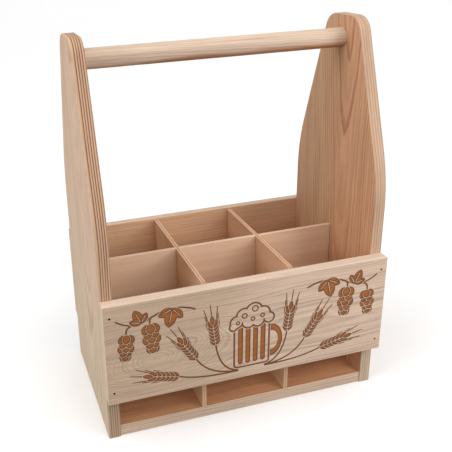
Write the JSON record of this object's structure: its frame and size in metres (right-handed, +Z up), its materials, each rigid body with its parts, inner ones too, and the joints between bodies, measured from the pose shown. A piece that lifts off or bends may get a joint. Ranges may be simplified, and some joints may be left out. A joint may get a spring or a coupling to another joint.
{
  "type": "bottle caddy",
  "caption": "Open wooden carrier with bottle-shaped sides, a round handle, nailed front and back boards and a lift-out grid of cells for bottles.",
  "frame": {"origin": "on the standing surface, at the middle of the caddy's footprint", "axes": "+X along the handle to the right, +Y to the back, +Z up"},
  "size_m": [0.28, 0.1724, 0.368],
  "materials": {
    "pine": "bare planed pine",
    "dowel": "bare sanded dowel",
    "plywood": "bare thin plywood",
    "nails": "dull steel"
  },
  "bodies": {
    "caddy": {"left_side": "pine", "right_side": "pine", "bottom_board": "pine", "front_board": "pine", "back_board": "pine", "handle": "dowel", "front_board_nails": "nails", "back_board_nails": "nails", "left_side_nails": "nails", "right_side_nails": "nails"},
    "divider_grid": {"long_divider": "plywood", "left_cross_divider": "plywood", "right_cross_divider": "plywood"}
  },
  "joints": [
    {"name": "grid_lift", "type": "slide", "parent": "caddy", "child": "divider_grid", "axis": [0, 0, 1], "range_m": [0, 0.185]}
  ]
}
